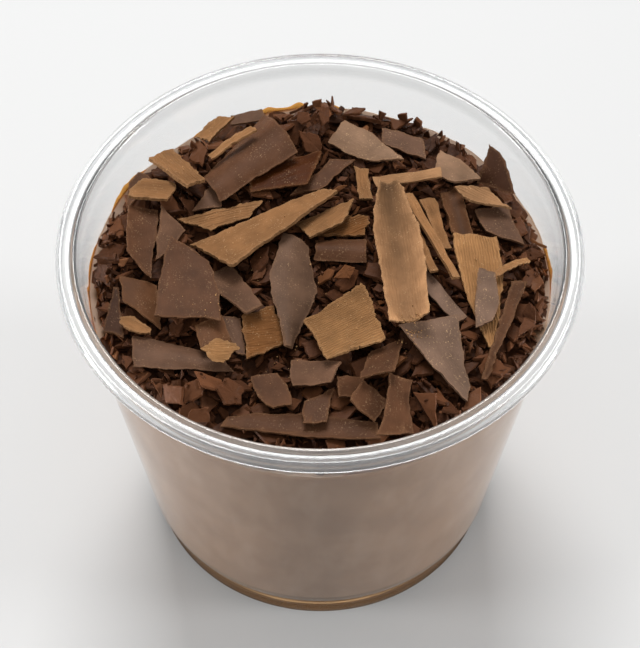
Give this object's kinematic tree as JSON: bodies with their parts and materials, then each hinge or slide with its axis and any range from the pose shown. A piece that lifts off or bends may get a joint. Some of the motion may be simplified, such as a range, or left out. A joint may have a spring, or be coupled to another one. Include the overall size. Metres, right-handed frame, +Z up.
{
  "type": "chocolate mousse",
  "caption": "Clear tapered plastic dessert cup with a flanged rim, filled with chocolate mousse and topped with loose plates, curls and sticks of shaved chocolate.",
  "frame": {"origin": "centre of the foot ring, on the surface the cup stands on", "axes": "+Z up the cup's axis, out of its mouth; -Y is the side seen nearest when the pile of shavings is looked at from the front; +X to the right"},
  "size_m": [0.075, 0.075, 0.0595],
  "materials": {
    "clear_plastic": "clear, slightly milky, glossy",
    "mousse": "soft, matt, finely bubbled",
    "chips": "very dark chocolate chips, matt",
    "chocolate_dark": "very dark chocolate, satin",
    "chocolate_smooth": "smooth brown cut face, satin",
    "chocolate_grey": "greyish bloomed cut face, matt",
    "chocolate_tan": "pale tan scraped face, dry",
    "chocolate_rust": "warm brown grained face, dry"
  },
  "bodies": {
    "root": {"cup": "clear_plastic", "mousse": "mousse", "chip_bed": "chips", "upright_right": "chocolate_dark", "chip_back_left": "chocolate_smooth", "flake_left": "chocolate_smooth", "dark_strip": "chocolate_dark", "front_plate": "chocolate_smooth", "front_chunk": "chocolate_smooth", "front_square": "chocolate_smooth", "front_slab": "chocolate_smooth", "oval_plate": "chocolate_smooth", "spoon_plate": "chocolate_smooth", "bottle_plate": "chocolate_smooth", "back_plate": "chocolate_smooth", "slate_scrap": "chocolate_smooth", "left_wedge": "chocolate_grey", "rust_ridges": "chocolate_rust", "dark_roll": "chocolate_smooth", "brown_leaf": "chocolate_smooth", "channel": "chocolate_smooth", "grey_blade": "chocolate_grey", "right_slate": "chocolate_grey", "striated_plate": "chocolate_rust", "grey_strip": "chocolate_smooth", "upright_tan": "chocolate_tan", "plate_left": "chocolate_smooth", "plate_left_inner": "chocolate_smooth", "low_trough": "chocolate_smooth", "brown_lump": "chocolate_smooth", "rust_square": "chocolate_rust", "tan_bark": "chocolate_tan", "big_roll": "chocolate_smooth", "tan_blade": "chocolate_tan", "crumbly_tan": "chocolate_tan", "mid_slab": "chocolate_smooth", "large_slab": "chocolate_smooth", "tan_leaf": "chocolate_tan", "tan_end": "chocolate_tan", "front_blade": "chocolate_smooth", "tan_chip": "chocolate_tan", "tan_block": "chocolate_tan", "back_stick": "chocolate_tan", "stick_three": "chocolate_tan", "stick_two": "chocolate_tan", "stick_one": "chocolate_tan", "pale_plate": "chocolate_grey", "pale_wedge": "chocolate_grey", "curled_tan": "chocolate_tan", "ribbed_square": "chocolate_tan", "grey_triangle": "chocolate_grey", "ridged_plate": "chocolate_tan", "thin_stick": "chocolate_tan", "over_flake": "chocolate_grey", "tall_stick": "chocolate_tan", "pale_bar": "chocolate_grey", "kite": "chocolate_grey", "wide_plate": "chocolate_tan", "long_wedge": "chocolate_tan"}
  },
  "joints": []
}
